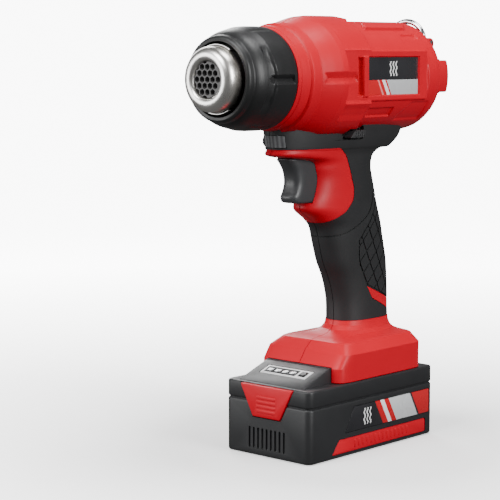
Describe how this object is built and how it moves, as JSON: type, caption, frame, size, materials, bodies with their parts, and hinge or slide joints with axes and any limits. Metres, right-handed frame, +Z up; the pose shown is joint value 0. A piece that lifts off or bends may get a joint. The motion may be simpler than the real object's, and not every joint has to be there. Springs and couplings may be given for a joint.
{
  "type": "cordless heat gun",
  "caption": "Pistol-grip cordless heat gun with a steel outlet, sliding heat selector, trigger and rear hanging loop, standing on its slide-on battery pack.",
  "frame": {"origin": "middle of the battery pack's flat underside", "axes": "+Z up from the pack to the barrel, -Y the way the nozzle blows, +X the tool's left side"},
  "size_m": [0.086, 0.2206, 0.3059],
  "materials": {
    "red_plastic": "fine-textured moulded plastic, satin",
    "grip_rubber": "soft overmoulded rubber, matt",
    "black_plastic": "glass-filled moulded plastic, satin",
    "pack_plastic": "fine-textured moulded plastic",
    "steel": "spun satin steel",
    "chrome": "bright plated wire",
    "ceramic": "unglazed ceramic",
    "mica": "pressed mica sheet",
    "copper": "bare copper alloy",
    "circuit_board": "solder-masked board",
    "clear_lens": "frosted clear plastic",
    "cell_sleeve": "shrink-sleeved steel can",
    "label_print": "printed laminated label without words"
  },
  "bodies": {
    "tool": {"air_guide": "black_plastic", "contact_blade_1": "copper", "contact_blade_2": "copper", "control_board": "circuit_board", "heater_base": "ceramic", "heater_former": "ceramic", "heating_coil": "steel", "honeycomb": "ceramic", "housing_screw_1": "steel", "housing_screw_2": "steel", "housing_screw_3": "steel", "housing_screw_4": "steel", "led_board": "circuit_board", "led_lens": "clear_lens", "left_grip": "grip_rubber", "left_grip_accent": "red_plastic", "left_housing": "red_plastic", "left_label": "label_print", "mica_sleeve": "mica", "motor_can": "steel", "motor_end_cap": "black_plastic", "motor_mount": "black_plastic", "nose_collar": "black_plastic", "outlet_tube": "steel", "rear_grille": "black_plastic", "right_grip": "grip_rubber", "right_grip_accent": "red_plastic", "right_housing": "red_plastic", "right_label": "label_print", "switch_module": "black_plastic", "terminal_block": "black_plastic", "thermal_cutoff": "steel", "trigger_spring": "steel"},
    "rotor": {"fan_wheel": "black_plastic", "motor_rotor": "copper"},
    "loop": {"hanging_loop": "chrome"},
    "trigger": {"trigger": "black_plastic"},
    "selector": {"heat_selector": "black_plastic"},
    "battery": {"battery_board": "circuit_board", "battery_lower_shell": "pack_plastic", "battery_upper_shell": "pack_plastic", "cell_1": "cell_sleeve", "cell_10": "cell_sleeve", "cell_2": "cell_sleeve", "cell_3": "cell_sleeve", "cell_4": "cell_sleeve", "cell_5": "cell_sleeve", "cell_6": "cell_sleeve", "cell_7": "cell_sleeve", "cell_8": "cell_sleeve", "cell_9": "cell_sleeve", "cell_holder": "black_plastic", "gauge_panel": "clear_lens", "latch_spring": "steel", "left_battery_label": "label_print", "left_battery_strip": "red_plastic", "right_battery_label": "label_print", "right_battery_strip": "red_plastic"},
    "latch": {"latch_button": "red_plastic"},
    "gauge_button": {"gauge_button": "pack_plastic"}
  },
  "joints": [
    {"name": "trigger_pull", "type": "slide", "parent": "tool", "child": "trigger", "axis": [0, 1, 0], "range_m": [0, 0.006], "stiffness_N_per_m": 600, "springref_m": -0.002, "deforming": ["trigger_spring"]},
    {"name": "selector_slide", "type": "slide", "parent": "tool", "child": "selector", "axis": [1, 0, 0], "range_m": [-0.003, 0.003]},
    {"name": "fan_spin", "type": "hinge", "parent": "tool", "child": "rotor", "pos_m": [0, 0.013, 0.2629], "axis": [0, 1, 0], "continuous": true},
    {"name": "loop_swing", "type": "hinge", "parent": "tool", "child": "loop", "pos_m": [0, 0.0855, 0.287], "axis": [-1, 0, 0], "range_deg": [0, 178]},
    {"name": "battery_slide", "type": "slide", "parent": "tool", "child": "battery", "axis": [0, -1, 0], "range_m": [0, 0.095]},
    {"name": "latch_press", "type": "slide", "parent": "battery", "child": "latch", "axis": [0, 1, 0], "range_m": [0, 0.004], "stiffness_N_per_m": 500, "springref_m": -0.002, "deforming": ["latch_spring"]},
    {"name": "gauge_press", "type": "slide", "parent": "battery", "child": "gauge_button", "axis": [0, 0.322, -0.9467], "range_m": [0, 0.0008], "stiffness_N_per_m": 400, "springref_m": -0.0005}
  ]
}
